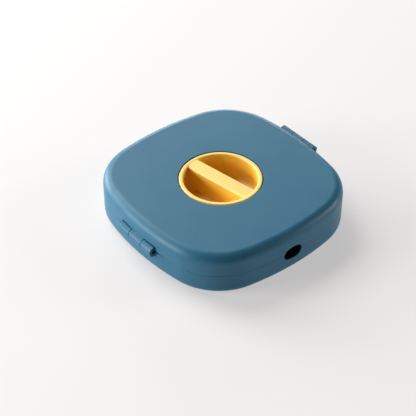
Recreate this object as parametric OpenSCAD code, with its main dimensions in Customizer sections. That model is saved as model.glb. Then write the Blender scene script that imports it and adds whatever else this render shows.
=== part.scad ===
// Hinged cable-winder case: a flat two-shell box with a turning winder set into its lid.
// Millimetres, +Z up, origin at the middle of the underside. +Y is the hinge side.

/* [Case] */
// Width across the two cable ports
case_x = 70; // [64:0.5:80]
// Depth of the shells from latch face to hinge face
case_y = 68.8; // [64:0.2:78]
// Closed height
case_h = 15; // [14.5:0.1:17]
// Radius of the slightly bowed sides, seen from above
side_r = 92.7; // [80:0.1:120]
// Radius of the corners, seen from above
corner_r = 20.3; // [16:0.1:23]
// Height of the parting plane
split_z = 7.6; // [7.4:0.1:7.8]
// Gap at the parting plane
seam = 0.05; // [0.05:0.05:0.2]
// Wall thickness
wall = 1.8; // [1.6:0.1:2]
// Floor thickness of the base
floor_t = 1.6; // [1.2:0.1:1.7]
// Thickness of the lid's top
top_t = 1.8; // [1.6:0.1:2]
// Rounding of the lid's top edge
top_round = 3.2; // [2:0.1:3.2]
// Rounding of the base's bottom edge
foot_round = 2.6; // [1.2:0.1:2.8]
// Rounding inside both shells
inner_round = 1.4; // [0.8:0.1:1.6]

/* [Hinge] */
// How far the hinge axis stands out of the case wall, at the height of the parting plane
hinge_out = -0.2; // [-0.2:0.1:0.6]
// Radius of the hinge barrel
hinge_r = 1.8; // [1.6:0.1:2]
// Length of the whole barrel
hinge_len = 16; // [14:0.2:20]
// Length of the middle knuckle, which belongs to the lid
hinge_mid = 6.4; // [4:0.2:7]
// Radius of the hinge pin
pin_r = 0.7; // [0.5:0.05:0.8]
// Gap between neighbouring knuckles
knuckle_gap = 0.25; // [0.2:0.05:0.3]
// Gap around each knuckle, of hinge and latch, in its pocket
pocket_gap = 0.4; // [0.25:0.05:0.5]

/* [Cable ports] */
// Width of each oval port
port_w = 7.1; // [6.8:0.1:8]
// Height of each oval port
port_h = 4.7; // [4.6:0.1:5]
// Radius of each port's two ends, which long flat arcs join
port_end_r = 2.1; // [1.8:0.1:2.2]
// How far each port widens towards the inside, so that its edge doesn't chafe the cable
port_flare = 1.5; // [0.5:0.1:2]
// Height of the port centre
port_z = 7.1; // [7:0.1:8.4]
// How far the ports sit towards the hinge
port_y = 0.6; // [0:0.1:2]

/* [Winder] */
// How far the winder's axis sits towards the hinge
winder_y = 0.8; // [0:0.1:2]
// Outer radius of the dial's rim
dial_r = 13.6; // [12.5:0.1:14.5]
// Width of the dial's rim
rim_w = 1.5; // [1.2:0.1:1.8]
// Thickness of the rim's flange
rim_t = 1.3; // [1:0.1:1.5]
// Depth of the finger bowl
bowl_depth = 8.2; // [6:0.1:8.6]
// Width of the grip bar
bar_w = 5.2; // [5:0.1:6.5]
// Rounding of the grip bar's upper edges
bar_round = 0.8; // [0.3:0.1:1.2]
// Direction of the grip bar from the X axis
bar_angle = 10; // [0:1:90]
// Radius of the spool's lower flange
flange_r = 20; // [18:0.5:23]
// Radius of the spool's upper flange
collar_r = 17; // [16:0.5:20]
// Width of the slot that the cable is threaded through
slot_w = 3; // [2.4:0.1:3.2]

/* [Latch] */
// Height of the latch axis
latch_z = 12.4; // [11.6:0.1:12.4]
// Radius of the latch barrel
latch_r = 1.4; // [1.1:0.1:1.4]
// Width of the latch
latch_w = 15.4; // [13:0.1:20]
// How far the latch sits to the +X side of the middle
latch_x = 1.6; // [0:0.1:3]
// Thickness of the latch plate
latch_t = 0.9; // [0.8:0.05:0.95]
// Height of the latch's lower edge
latch_foot = 3.6; // [3:0.1:4.2]

/* [Hidden] */
$fn = 96;
shell_colour = "#517b93";
winder_colour = "#f3b92d";
steel_colour = "#b9bcc0";
eps = 0.01;
past = 1;
side_steps = 8;
corner_steps = 12;
round_steps = 6;
sleeve_clear = 0.05;
port_edge = 0.4;
pin_inset = 0.8;

half_x = case_x / 2;
half_y = case_y / 2;
base_top = split_z - seam / 2;
lid_bottom = split_z + seam / 2;
hinge_y = half_y + hinge_out;
hinge_z = split_z;
hinge_end = hinge_len / 2;

// Seat of the dial in the lid
dial_clear = 0.25;
seat_z = case_h - rim_t - seam;
neck_in = 0.8;
neck_r = dial_r - neck_in;
boss_over = 2.2;
boss_r = dial_r + boss_over;
boss_t = 1.3;
boss_z = seat_z - boss_t;

// The cup stands on the spool's web, and the spool hangs just above the base floor
cup_floor_z = case_h - bowl_depth;
cup_floor_t = 3;
cup_bottom_z = cup_floor_z - cup_floor_t;
web_t = 1.5;
web_bottom_z = cup_bottom_z - web_t;
bowl_r = dial_r - rim_w;
bowl_round = 3;
rim_round = 0.4;
rim_bevel = 0.3;
bar_low = 0.05;
collar_gap = 0.15;
collar_top_z = boss_z - collar_gap;
flange_t = 1.1;
sleeve_in_r = neck_r + sleeve_clear;
sleeve_t = 1.3;
sleeve_r = neck_r + sleeve_t;
slot_deep = 4.6;
slot_top_z = case_h - slot_deep;
spigot_r = 3;
spigot_wall = 1.2;
spigot_in = 1.1;
spigot_clear = 0.5;

// Self-tapping screws that hold the spool to the cup
screw_x = 8;
screw_r = 0.9;
screw_head_r = 1.8;
screw_head_t = 0.8;
screw_len = 2.8;
tip_room = 0.3;
hole_clear = 0.2;
recess_w = 0.5;
recess_deep = 0.4;
screw_tip_z = web_bottom_z + screw_head_t + screw_len;

// Thicker walls behind the hinge and the latch, which their pockets are cut into
backing_t = 3.4;
backing_over = 2;
latch_backing_t = 2.8;
latch_backing_z = 10;
fuse = 0.2;

// Steps in the lid's edge at each end of the hinge barrel
pocket_over = 0.6;
relief_deep = 1.3;
notch_len = 2;
notch_h = 0.45;
groove_len = 4.4;
groove_h = 0.15;

// Latch on the lid and its catch on the base
latch_front = -hinge_y - hinge_r;
grip_out = 0.25;
grip_h = 1;
grip_inset = 1;
latch_y = latch_front + latch_r;
latch_plate = latch_front + grip_out;
latch_back = latch_plate + latch_t;
latch_pin_r = 0.5;
latch_end = latch_w / 2;
latch_mid = round(latch_w / 3 * 10) / 10;
catch_half = 5;
catch_out = 0.15;
catch_z = 5.4;
catch_h = 1;
hook_reach = 0.2;
hook_up = 0.3;
hook_z = latch_foot + hook_up;
hook_h = 1;

// Corner centre and the angles at which a side arc runs into a corner arc without a kink
ax = half_x - side_r;
by = half_y - side_r;
reach = side_r - corner_r;
span = norm([ax, by]);
rise = sqrt(reach * reach - span * span / 4);
corner_x = ax / 2 - rise * by / span;
corner_y = by / 2 - rise * ax / span;
turn_a = atan2(corner_y, corner_x - ax);
turn_b = atan2(corner_y - by, corner_x);

function arc(cx, cy, r, from, to, steps) =
    [for (i = [0:steps - 1])
        let (a = from + (to - from) * i / steps) [cx + r * cos(a), cy + r * sin(a)]];

// Outline of the case, moved inwards by inset
function outline(inset) = concat(
    arc(ax, 0, side_r - inset, -turn_a, turn_a, side_steps),
    arc(corner_x, corner_y, corner_r - inset, turn_a, turn_b, corner_steps),
    arc(0, by, side_r - inset, turn_b, 180 - turn_b, side_steps),
    arc(-corner_x, corner_y, corner_r - inset, 180 - turn_b, 180 - turn_a, corner_steps),
    arc(-ax, 0, side_r - inset, 180 - turn_a, 180 + turn_a, side_steps),
    arc(-corner_x, -corner_y, corner_r - inset, 180 + turn_a, 180 + turn_b, corner_steps),
    arc(0, -by, side_r - inset, 180 + turn_b, 360 - turn_b, side_steps),
    arc(corner_x, -corner_y, corner_r - inset, 360 - turn_b, 360 - turn_a, corner_steps));

// Levels [inset, height] that round an edge of radius r, as a quarter circle
function round_top(r, z, inset = 0, steps = round_steps) =
    [for (i = [0:steps]) [inset + r - r * cos(90 * i / steps), z - r + r * sin(90 * i / steps)]];
function round_bottom(r, z, inset = 0, steps = round_steps) =
    [for (i = [steps:-1:0]) [inset + r - r * cos(90 * i / steps), z + r - r * sin(90 * i / steps)]];

// Solid whose cross-section is the case outline, with the inset of each level
module loft(levels) {
    n = len(outline(0));
    rings = len(levels);
    polyhedron(
        points = [for (l = levels) for (p = outline(l[0])) [p[0], p[1], l[1]]],
        faces = concat(
            [[for (i = [0:n - 1]) i]],
            [for (j = [0:rings - 2]) for (i = [0:n - 1])
                [j * n + i, (j + 1) * n + i, (j + 1) * n + (i + 1) % n, j * n + (i + 1) % n]],
            [[for (i = [n - 1:-1:0]) (rings - 1) * n + i]]));
}

// Cylinder along X from x0 to x1
module rod(x0, x1, r, y, z) {
    translate([x0, y, z]) rotate([0, 90, 0]) cylinder(r = r, h = x1 - x0);
}

module box(x0, x1, y0, y1, z0, z1) {
    translate([x0, y0, z0]) cube([x1 - x0, y1 - y0, z1 - z0]);
}

// Disc about the winder's axis
module disc(r, z0, z1) {
    translate([0, winder_y, z0]) cylinder(r = r, h = z1 - z0);
}

// Oval port through each side wall, its ends joined by long arcs that run into them without a kink
module port_cut() {
    half_h = port_h / 2;
    end_y = port_w / 2 - port_end_r;
    long_r = (end_y * end_y + half_h * half_h - port_end_r * port_end_r) / (2 * (half_h - port_end_r));
    join_y = end_y * long_r / (long_r - port_end_r);
    for (m = [0, 1]) mirror([m, 0, 0]) {
        for (s = [-1, 1]) flared_bore(port_end_r, port_y + s * end_y, port_z);
        intersection() {
            flared_bore(long_r, port_y, port_z + long_r - half_h);
            flared_bore(long_r, port_y, port_z - long_r + half_h);
            box(0, case_x, port_y - join_y, port_y + join_y, 0, case_h);
        }
    }
}

// Bore along X through the +X wall, with a short straight edge and then a flare inwards
module flared_bore(r, y, z) {
    edge_x = half_x - port_edge;
    inner_x = edge_x - port_flare;
    rod(inner_x - past, half_x + past, r, y, z);
    translate([inner_x, y, z]) rotate([0, 90, 0]) cylinder(r1 = r + port_flare, r2 = r, h = port_flare);
}

// Thick inner wall behind the hinge, which the knuckle pockets are cut into
module hinge_backing(z0, z1) {
    over = hinge_end + backing_over;
    box(-over, over, half_y - backing_t, half_y - wall + 2 * fuse, z0, z1);
}

// Thick inner wall behind the latch's pocket
module latch_backing() {
    over = latch_end + backing_over;
    box(latch_x - over, latch_x + over, -half_y + wall - 2 * fuse, -half_y + latch_backing_t,
        latch_backing_z, case_h - top_t + fuse);
}

// Hole for the hinge pin, as long as the barrel
module pin_cut() {
    rod(-hinge_end - eps, hinge_end + eps, pin_r + sleeve_clear, hinge_y, hinge_z);
}

module base_shell() {
    color(shell_colour)
    difference() {
        union() {
            difference() {
                loft(concat(round_bottom(foot_round, 0), [[0, base_top]]));
                loft(concat(round_bottom(inner_round, floor_t, wall), [[wall, base_top + past]]));
            }
            hinge_backing(floor_t - fuse, base_top);
            base_lip();
            for (s = [-1, 1]) base_knuckle(s);
            disc(spigot_r, floor_t - fuse, web_bottom_z + spigot_in);
            box(latch_x - catch_half, latch_x + catch_half, -half_y - catch_out, -half_y + wall / 2,
                catch_z, catch_z + catch_h);
        }
        rod(-hinge_mid / 2, hinge_mid / 2, hinge_r + pocket_gap, hinge_y, hinge_z);
        pin_cut();
        port_cut();
        disc(spigot_r - spigot_wall, floor_t, case_h);
    }
}

// Lip inside the base's front and sides that centres the closed lid
module base_lip() {
    lip_clear = 0.25;
    lip_h = 1;
    lip_t = 1;
    lip_root = 2;
    side_gap = 6;
    rear_y = 14;
    difference() {
        loft([[wall - fuse, base_top - lip_root], [wall - fuse, base_top - seam],
              [wall + lip_clear, base_top], [wall + lip_clear, base_top + lip_h]]);
        loft([[wall + lip_t, base_top - lip_root - past], [wall + lip_t, base_top + lip_h + past]]);
        box(-half_x, half_x, rear_y, half_y, 0, case_h);
        // The lip stops short of the ports, where the cable and the winder's flange pass
        for (s = [-1, 1])
            box(s * half_x - side_gap, s * half_x + side_gap, port_y - side_gap, port_y + side_gap,
                0, case_h);
    }
}

// Outer knuckle of the hinge, on the base
module base_knuckle(side) {
    x0 = side > 0 ? hinge_mid / 2 : -hinge_end;
    x1 = side > 0 ? hinge_end : -hinge_mid / 2;
    rod(x0, x1, hinge_r, hinge_y, hinge_z);
    box(x0, x1, half_y - wall, hinge_y, hinge_z - hinge_r, base_top);
}

module hinge_pin() {
    color(steel_colour) rod(-hinge_end + pin_inset, hinge_end - pin_inset, pin_r, hinge_y, hinge_z);
}

module lid_shell() {
    color(shell_colour)
    difference() {
        union() {
            difference() {
                loft(concat([[0, lid_bottom]], round_top(top_round, case_h)));
                loft(concat([[wall, lid_bottom - past]], round_top(inner_round, case_h - top_t, wall)));
            }
            hinge_backing(lid_bottom, case_h - top_t + fuse);
            latch_backing();
            disc(boss_r, boss_z, case_h - fuse);
            lid_knuckle();
            latch_lug();
        }
        pin_cut();
        latch_pin_cut();
        for (s = [-1, 1]) {
            pocket_0 = s > 0 ? hinge_mid / 2 - knuckle_gap : -hinge_end - pocket_over;
            pocket_1 = s > 0 ? hinge_end + pocket_over : -hinge_mid / 2 + knuckle_gap;
            rod(pocket_0, pocket_1, hinge_r + pocket_gap, hinge_y, hinge_z);
            seam_relief(s);
            latch_0 = s > 0 ? latch_mid / 2 - knuckle_gap / 2 : -latch_end - knuckle_gap;
            latch_1 = s > 0 ? latch_end + knuckle_gap : -latch_mid / 2 + knuckle_gap / 2;
            rod(latch_x + latch_0, latch_x + latch_1, latch_r + pocket_gap, latch_y, latch_z);
        }
        disc(neck_r + dial_clear, 0, case_h + past);
        disc(dial_r + dial_clear, seat_z, case_h + past);
        port_cut();
    }
}

// Notch and then a fine groove in the lid's edge at one end of the barrel, which show where the case opens
module seam_relief(side) {
    y0 = half_y - relief_deep;
    mirror([side > 0 ? 0 : 1, 0, 0]) {
        box(hinge_end - 2 * fuse, hinge_end + notch_len, y0, half_y + past, lid_bottom - past,
            lid_bottom + notch_h);
        box(hinge_end, hinge_end + groove_len, y0 + fuse, half_y + past, lid_bottom - past,
            lid_bottom + groove_h);
    }
}

// Middle knuckle of the hinge, on the lid
module lid_knuckle() {
    half = hinge_mid / 2 - knuckle_gap;
    rod(-half, half, hinge_r, hinge_y, hinge_z);
    box(-half, half, half_y - wall, hinge_y, lid_bottom, hinge_z + hinge_r - 2 * fuse);
}

// Middle knuckle of the latch, on the lid
module latch_lug() {
    half = latch_mid / 2 - knuckle_gap / 2;
    rod(latch_x - half, latch_x + half, latch_r, latch_y, latch_z);
    box(latch_x - half, latch_x + half, latch_y, -half_y + wall / 2,
        latch_z - latch_r, latch_z + latch_r - 2 * fuse);
}

// Hole for the latch pin, as long as the latch
module latch_pin_cut() {
    rod(latch_x - latch_end - eps, latch_x + latch_end + eps, latch_pin_r + sleeve_clear, latch_y, latch_z);
}

// Points of a quarter of a circle about a centre, from one angle to another
function quarter(cx, cz, r, from, to) = [for (i = [0:round_steps])
    let (a = from + (to - from) * i / round_steps) [cx + r * cos(a), cz + r * sin(a)]];

// The finger bowl, drawn as a half section and turned about the winder's axis
module bowl_cut() {
    translate([0, winder_y, 0]) rotate_extrude()
        polygon(concat(
            [[0, case_h + past], [0, cup_floor_z]],
            quarter(bowl_r - bowl_round, cup_floor_z + bowl_round, bowl_round, -90, 0),
            quarter(bowl_r + rim_round, case_h - rim_round, rim_round, 180, 90),
            [[bowl_r + rim_round, case_h + past]]));
}

// Grip bar across the bowl, its upper edges rounded
module grip_bar() {
    top = case_h - bar_low;
    half = bar_w / 2;
    intersection() {
        disc(bowl_r + fuse, cup_floor_z - past, top);
        translate([0, winder_y, 0]) rotate([0, 0, bar_angle]) rotate([90, 0, 90])
            translate([0, 0, -flange_r]) linear_extrude(2 * flange_r)
                polygon(concat([[-half, 0], [half, 0]],
                               quarter(half - bar_round, top - bar_round, bar_round, 0, 90),
                               quarter(bar_round - half, top - bar_round, bar_round, 90, 180)));
    }
}

// Channel for the cable, from one side of the winder to the other
module slot_cut(top) {
    translate([0, winder_y, 0]) rotate([0, 0, bar_angle])
        box(-flange_r, flange_r, -slot_w / 2, slot_w / 2, 0, top);
}

module winder_cup() {
    rim_top = case_h - rim_bevel;
    color(winder_colour)
    difference() {
        union() {
            difference() {
                union() {
                    disc(neck_r, cup_bottom_z, rim_top);
                    disc(dial_r, seat_z + seam, rim_top);
                    translate([0, winder_y, rim_top])
                        cylinder(r1 = dial_r, r2 = dial_r - rim_bevel, h = rim_bevel);
                }
                bowl_cut();
            }
            grip_bar();
        }
        slot_cut(slot_top_z);
        for (s = [-1, 1]) screw_hole(s, screw_r + sleeve_clear, cup_bottom_z - past, screw_tip_z + tip_room);
    }
}

module screw_hole(side, r, z0, z1) {
    translate([0, winder_y, z0]) rotate([0, 0, bar_angle + 90]) translate([side * screw_x, 0, 0])
        cylinder(r = r, h = z1 - z0);
}

module winder_spool() {
    color(winder_colour)
    difference() {
        union() {
            disc(sleeve_r, web_bottom_z, collar_top_z);
            disc(flange_r, web_bottom_z, web_bottom_z + flange_t);
            disc(collar_r, collar_top_z - flange_t, collar_top_z);
        }
        disc(sleeve_in_r, cup_bottom_z, case_h);
        disc(spigot_r + spigot_clear, 0, case_h);
        difference() {
            slot_cut(slot_top_z);
            disc(flange_r + past, 0, cup_bottom_z);
        }
        for (s = [-1, 1]) {
            screw_hole(s, screw_r + hole_clear, 0, case_h);
            screw_hole(s, screw_head_r + hole_clear, 0, web_bottom_z + screw_head_t);
        }
    }
}

// Screw under the spool's web, driven upwards into the cup
module spool_screw(side) {
    color(steel_colour)
    difference() {
        union() {
            screw_hole(side, screw_head_r, web_bottom_z, web_bottom_z + screw_head_t);
            screw_hole(side, screw_r, web_bottom_z + screw_head_t - eps, screw_tip_z);
        }
        translate([0, winder_y, web_bottom_z]) rotate([0, 0, bar_angle + 90])
            translate([side * screw_x, 0, 0])
                for (a = [0, 90]) rotate([0, 0, a])
                    cube([screw_head_r + hole_clear, recess_w, 2 * recess_deep], center = true);
    }
}

module latch_lever() {
    lug_half = latch_mid / 2 + knuckle_gap / 2;
    color(shell_colour)
    difference() {
        translate([latch_x, 0, 0]) union() {
            rod(-latch_end, latch_end, latch_r, latch_y, latch_z);
            box(-latch_end, latch_end, latch_plate, latch_back, latch_foot, latch_z);
            // Grip along the lower edge, and the hook that snaps under the catch
            box(grip_inset - latch_end, latch_end - grip_inset, latch_front, latch_back,
                latch_foot, latch_foot + grip_h);
            box(-catch_half, catch_half, latch_back - fuse, latch_back + hook_reach, hook_z, hook_z + hook_h);
        }
        box(latch_x - lug_half, latch_x + lug_half, latch_y - 2 * latch_r, latch_y + 2 * latch_r,
            latch_z - latch_r - 2 * fuse, case_h);
        latch_pin_cut();
    }
}

module latch_pin() {
    color(steel_colour)
    rod(latch_x - latch_end + pin_inset, latch_x + latch_end - pin_inset, latch_pin_r, latch_y, latch_z);
}

base_shell();
hinge_pin();
lid_shell();
winder_cup();
winder_spool();
spool_screw(1);  // spool_screw_1
spool_screw(-1);  // spool_screw_2
latch_lever();
latch_pin();
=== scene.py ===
"""Studio scene of a hinged cable-winder case. Metres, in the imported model's own frame."""

import math

import bpy
from mathutils import Matrix, Vector


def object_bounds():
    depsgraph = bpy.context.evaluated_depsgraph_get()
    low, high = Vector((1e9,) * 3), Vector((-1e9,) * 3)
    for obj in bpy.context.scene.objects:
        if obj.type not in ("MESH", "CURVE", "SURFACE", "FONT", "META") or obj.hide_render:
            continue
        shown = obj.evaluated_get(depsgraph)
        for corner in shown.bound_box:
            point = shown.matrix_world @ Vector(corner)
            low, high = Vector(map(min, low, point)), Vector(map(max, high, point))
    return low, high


MM = 0.001

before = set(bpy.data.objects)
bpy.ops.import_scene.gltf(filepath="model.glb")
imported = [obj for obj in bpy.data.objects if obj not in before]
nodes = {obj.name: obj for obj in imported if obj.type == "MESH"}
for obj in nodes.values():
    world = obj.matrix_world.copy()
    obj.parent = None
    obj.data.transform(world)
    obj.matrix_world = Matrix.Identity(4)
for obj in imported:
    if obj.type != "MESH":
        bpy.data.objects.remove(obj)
cad_low, cad_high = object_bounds()


# ---------------------------------------------------------------- node helpers

def new_material(name):
    material = bpy.data.materials.new(name)
    material.use_nodes = True
    tree = material.node_tree
    tree.nodes.clear()
    output = tree.nodes.new("ShaderNodeOutputMaterial")
    shader = tree.nodes.new("ShaderNodeBsdfPrincipled")
    tree.links.new(shader.outputs["BSDF"], output.inputs["Surface"])
    return material, tree, shader


def object_coordinates(tree):
    return tree.nodes.new("ShaderNodeTexCoord").outputs["Object"]


def noise(tree, vector, size, detail=3.0, roughness=0.5):
    """Noise whose blobs are about size metres across."""
    node = tree.nodes.new("ShaderNodeTexNoise")
    node.inputs["Scale"].default_value = 1.0 / size
    node.inputs["Detail"].default_value = detail
    node.inputs["Roughness"].default_value = roughness
    tree.links.new(vector, node.inputs["Vector"])
    return node.outputs["Fac"]


def remap(tree, value, low, high, start=0.0, end=1.0):
    node = tree.nodes.new("ShaderNodeMapRange")
    node.inputs["From Min"].default_value = start
    node.inputs["From Max"].default_value = end
    node.inputs["To Min"].default_value = low
    node.inputs["To Max"].default_value = high
    tree.links.new(value, node.inputs["Value"])
    return node.outputs["Result"]


def mix_colour(tree, factor, first, second):
    node = tree.nodes.new("ShaderNodeMix")
    node.data_type = "RGBA"
    tree.links.new(factor, node.inputs[0])
    for socket, value in ((node.inputs[6], first), (node.inputs[7], second)):
        if isinstance(value, bpy.types.NodeSocket):
            tree.links.new(value, socket)
        else:
            socket.default_value = (*value, 1.0)
    return node.outputs[2]


def bump(tree, height, distance, strength, normal=None):
    node = tree.nodes.new("ShaderNodeBump")
    node.inputs["Distance"].default_value = distance
    node.inputs["Strength"].default_value = strength
    tree.links.new(height, node.inputs["Height"])
    if normal is not None:
        tree.links.new(normal, node.inputs["Normal"])
    return node.outputs["Normal"]


def soft_edge(tree, radius):
    node = tree.nodes.new("ShaderNodeBevel")
    node.samples = 6
    node.inputs["Radius"].default_value = radius
    return node.outputs["Normal"]


def edge_mask(tree, rounded_normal):
    """1 along sharp edges and 0 on the faces between them."""
    geometry = tree.nodes.new("ShaderNodeNewGeometry")
    dot = tree.nodes.new("ShaderNodeVectorMath")
    dot.operation = "DOT_PRODUCT"
    tree.links.new(geometry.outputs["Normal"], dot.inputs[0])
    tree.links.new(rounded_normal, dot.inputs[1])
    return remap(tree, dot.outputs["Value"], 1.0, 0.0, start=0.80, end=0.995)


# ---------------------------------------------------------------- materials

def linear(red, green, blue):
    """Linear colour of an sRGB colour given as 0 to 255."""
    def channel(value):
        value /= 255.0
        return value / 12.92 if value <= 0.04045 else ((value + 0.055) / 1.055) ** 2.4
    return tuple(channel(v) for v in (red, green, blue))


def moulded_plastic(name, colour, wear_and_highlight_colour, roughness, ior, specular, grain, edge):
    """Satin moulded plastic with a fine grain, faint flow mottling and edges painted paler in patches,
    partly as wear and partly as a painted highlight.
    """
    material, tree, shader = new_material(name)
    where = object_coordinates(tree)
    rounded = soft_edge(tree, edge)
    mottle = noise(tree, where, 22 * MM, detail=4.0)
    dark = tuple(c * 0.93 for c in colour)
    light = tuple(min(1.0, c * 1.06) for c in colour)
    body = mix_colour(tree, mottle, dark, light)
    speck = remap(tree, noise(tree, where, 0.5 * MM, detail=2.0), 0.0, 0.18, start=0.60, end=0.80)
    body = mix_colour(tree, speck, body, wear_and_highlight_colour)
    # Edges are painted paler in patches: partly wear, partly a painted highlight where the edges catch
    # the light.
    edge_wear_and_highlight = tree.nodes.new("ShaderNodeMath")
    edge_wear_and_highlight.operation = "MULTIPLY"
    tree.links.new(edge_mask(tree, rounded), edge_wear_and_highlight.inputs[0])
    edge_patchiness = remap(tree, noise(tree, where, 3 * MM), 0.1, 0.4, start=0.3, end=0.7)
    tree.links.new(edge_patchiness, edge_wear_and_highlight.inputs[1])
    body = mix_colour(tree, edge_wear_and_highlight.outputs["Value"], body, wear_and_highlight_colour)
    tree.links.new(body, shader.inputs["Base Color"])
    smudges = noise(tree, where, 6 * MM, detail=5.0)
    gloss = remap(tree, smudges, roughness - 0.04, roughness + 0.05, start=0.25, end=0.75)
    tree.links.new(gloss, shader.inputs["Roughness"])
    grain_height = noise(tree, where, grain, detail=2.0, roughness=0.6)
    fine = bump(tree, grain_height, distance=0.02 * MM, strength=0.35, normal=rounded)
    sink_marks = noise(tree, where, 9 * MM)
    surface = bump(tree, sink_marks, distance=0.05 * MM, strength=0.12, normal=fine)
    tree.links.new(surface, shader.inputs["Normal"])
    shader.inputs["IOR"].default_value = ior
    shader.inputs["Specular IOR Level"].default_value = specular
    return material


def drawn_steel(name):
    """Bright drawn wire and screw steel with fine scratches along X."""
    material, tree, shader = new_material(name)
    where = object_coordinates(tree)
    stretch = tree.nodes.new("ShaderNodeMapping")
    stretch.inputs["Scale"].default_value = (0.06, 1.0, 1.0)
    tree.links.new(where, stretch.inputs["Vector"])
    scratch = noise(tree, stretch.outputs["Vector"], 0.12 * MM, detail=4.0, roughness=0.7)
    tint = mix_colour(tree, noise(tree, where, 4 * MM), linear(176, 178, 182), linear(201, 202, 204))
    tree.links.new(tint, shader.inputs["Base Color"])
    shader.inputs["Metallic"].default_value = 1.0
    tree.links.new(remap(tree, scratch, 0.22, 0.42), shader.inputs["Roughness"])
    rounded = soft_edge(tree, 0.1 * MM)
    surface = bump(tree, scratch, distance=0.01 * MM, strength=0.4, normal=rounded)
    tree.links.new(surface, shader.inputs["Normal"])
    return material


shell_plastic = moulded_plastic(
    "shell_plastic",
    colour=linear(46, 103, 129),
    # paler colour for random specks and for the edges, where it is partly wear and partly a painted
    # highlight
    wear_and_highlight_colour=linear(80, 132, 158),
    roughness=0.42,
    ior=1.49,
    specular=0.28,
    grain=0.22 * MM,
    edge=0.22 * MM,
)
winder_plastic = moulded_plastic(
    "winder_plastic",
    colour=linear(246, 197, 46),
    # paler colour for random specks and for the edges, where it is partly wear and partly a painted
    # highlight
    wear_and_highlight_colour=linear(255, 222, 118),
    roughness=0.52,
    ior=1.75,
    specular=1.0,
    grain=0.28 * MM,
    edge=0.25 * MM,
)
steel = drawn_steel("steel")

NODE_MATERIALS = {
    "base_shell": shell_plastic,
    "lid_shell": shell_plastic,
    "latch_lever": shell_plastic,
    "winder_cup": winder_plastic,
    "winder_spool": winder_plastic,
    "hinge_pin": steel,
    "latch_pin": steel,
    "spool_screw_1": steel,
    "spool_screw_2": steel,
}


# ---------------------------------------------------------------- CAD nodes

WELD_DISTANCE = 0.0005 * MM
SHARP_ANGLE = math.radians(28)


def smooth_by_angle(limit):
    """Geometry nodes that weld the facets and shade them smooth, keeping edges sharper than limit."""
    group = bpy.data.node_groups.new("smooth_by_angle", "GeometryNodeTree")
    group.interface.new_socket("Geometry", in_out="INPUT", socket_type="NodeSocketGeometry")
    group.interface.new_socket("Geometry", in_out="OUTPUT", socket_type="NodeSocketGeometry")
    start = group.nodes.new("NodeGroupInput")
    end = group.nodes.new("NodeGroupOutput")
    weld = group.nodes.new("GeometryNodeMergeByDistance")
    weld.inputs["Distance"].default_value = WELD_DISTANCE
    faces = group.nodes.new("GeometryNodeSetShadeSmooth")
    faces.domain = "FACE"
    edges = group.nodes.new("GeometryNodeSetShadeSmooth")
    edges.domain = "EDGE"
    edges.inputs["Shade Smooth"].default_value = False
    angle = group.nodes.new("GeometryNodeInputMeshEdgeAngle")
    over = group.nodes.new("FunctionNodeCompare")
    over.data_type = "FLOAT"
    over.operation = "GREATER_THAN"
    over.inputs[1].default_value = limit
    link = group.links.new
    link(start.outputs[0], weld.inputs["Geometry"])
    link(weld.outputs["Geometry"], faces.inputs["Geometry"])
    link(faces.outputs["Geometry"], edges.inputs["Geometry"])
    link(angle.outputs["Unsigned Angle"], over.inputs[0])
    link(over.outputs["Result"], edges.inputs["Selection"])
    link(edges.outputs["Geometry"], end.inputs[0])
    return group


smoothing = smooth_by_angle(SHARP_ANGLE)
for name, node in nodes.items():
    node.data.materials.clear()
    node.data.materials.append(NODE_MATERIALS[name])
    node.modifiers.new("smooth", "NODES").node_group = smoothing
    weighted = node.modifiers.new("weighted", "WEIGHTED_NORMAL")
    weighted.keep_sharp = True
    weighted.weight = 90


# ---------------------------------------------------------------- floor, lights and camera

# The paper gives off part of its own light, which keeps the shadows on it pale
PAPER_DARK = (0.41, 0.402, 0.398)
PAPER_LIGHT = (0.43, 0.422, 0.418)
PAPER_GLOW = 0.5
PAPER_GLOW_COLOUR = linear(243, 240, 239)
# Half the floor's side, and how far it lies below the object
FLOOR_HALF = 6.0
FLOOR_DROP = 0.02 * MM
WORLD_COLOUR = (1.0, 0.985, 0.98, 1.0)
WORLD_STRENGTH = 0.03


def floor_material():
    material, tree, shader = new_material("studio_paper")
    where = object_coordinates(tree)
    fibre = noise(tree, where, 0.6 * MM, detail=3.0)
    tree.links.new(mix_colour(tree, fibre, PAPER_DARK, PAPER_LIGHT), shader.inputs["Base Color"])
    shader.inputs["Roughness"].default_value = 0.95
    shader.inputs["Specular IOR Level"].default_value = 0.1
    shader.inputs["Emission Color"].default_value = (*PAPER_GLOW_COLOUR, 1.0)
    shader.inputs["Emission Strength"].default_value = PAPER_GLOW
    tree.links.new(bump(tree, fibre, distance=0.02 * MM, strength=0.1), shader.inputs["Normal"])
    return material


def studio_floor(half):
    mesh = bpy.data.meshes.new("studio_floor")
    corners = [(-half, -half, 0), (half, -half, 0), (half, half, 0), (-half, half, 0)]
    mesh.from_pydata(corners, [], [(0, 1, 2, 3)])
    floor = bpy.data.objects.new("studio_floor", mesh)
    floor.location.z = -FLOOR_DROP
    bpy.context.scene.collection.objects.link(floor)
    mesh.materials.append(floor_material())


def aim(obj, target):
    obj.rotation_mode = "QUATERNION"
    obj.rotation_quaternion = (target - obj.location).to_track_quat("-Z", "Y")


def softbox(name, direction, distance, size, power):
    """Square area light that faces the object from a direction, at a distance in metres."""
    data = bpy.data.lights.new(name, "AREA")
    data.shape = "SQUARE"
    data.size = size
    data.energy = power
    lamp = bpy.data.objects.new(name, data)
    lamp.location = middle + direction.normalized() * distance
    bpy.context.scene.collection.objects.link(lamp)
    aim(lamp, middle)


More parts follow.
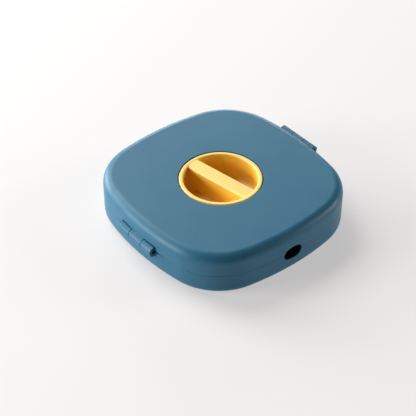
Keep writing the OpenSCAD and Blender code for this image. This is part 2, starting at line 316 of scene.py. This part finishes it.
middle = (cad_low + cad_high) / 2

# The camera looks down at the lid from beyond the corner between the hinge and the left port
azimuth = math.radians(230.72)
elevation = math.radians(40.51)
level_back = Vector((math.sin(azimuth), -math.cos(azimuth), 0.0))
rise = Vector((0, 0, 1))
camera_back = level_back * math.cos(elevation) + rise * math.sin(elevation)
camera_right = Vector((math.cos(azimuth), math.sin(azimuth), 0.0))
camera_up = camera_back.cross(camera_right)
camera_distance = 419.1 * MM
camera_aside = -4.71 * MM
camera_raised = -4.4 * MM

camera_data = bpy.data.cameras.new("camera")
camera_data.sensor_width = 36.0
camera_data.lens = 111.17
camera_data.clip_start = 0.01
camera_data.clip_end = 20.0
camera = bpy.data.objects.new("camera", camera_data)
shift = camera_right * camera_aside + camera_up * camera_raised
camera.location = middle + camera_back * camera_distance + shift
camera.rotation_mode = "QUATERNION"
camera.rotation_quaternion = Matrix((camera_right, camera_up, camera_back)).transposed().to_quaternion()
bpy.context.scene.collection.objects.link(camera)
bpy.context.scene.camera = camera

studio_floor(FLOOR_HALF)


def from_angles(around, height):
    """Direction around degrees from the camera's side by way of the left, and height degrees up."""
    turn = math.radians(around)
    up = math.radians(height)
    level = level_back * math.cos(turn) - camera_right * math.sin(turn)
    return level * math.cos(up) + rise * math.sin(up)


softbox("key", from_angles(143, 42), distance=1.2, size=0.7, power=12.0)
softbox("low_key", from_angles(125, 9), distance=1.2, size=0.6, power=19.0)
softbox("left_side", from_angles(78, 14), distance=0.8, size=0.4, power=6.0)
softbox("behind", from_angles(180, 8), distance=2.4, size=1.2, power=32.0)
softbox("right_side", from_angles(262, 14), distance=2.4, size=1.0, power=26.0)

world = bpy.data.worlds.new("studio")
world.use_nodes = True
world.node_tree.nodes["Background"].inputs["Color"].default_value = WORLD_COLOUR
world.node_tree.nodes["Background"].inputs["Strength"].default_value = WORLD_STRENGTH
bpy.context.scene.world = world
bpy.context.scene.view_settings.view_transform = "Standard"
bpy.context.scene.view_settings.look = "None"

bpy.context.view_layer.update()
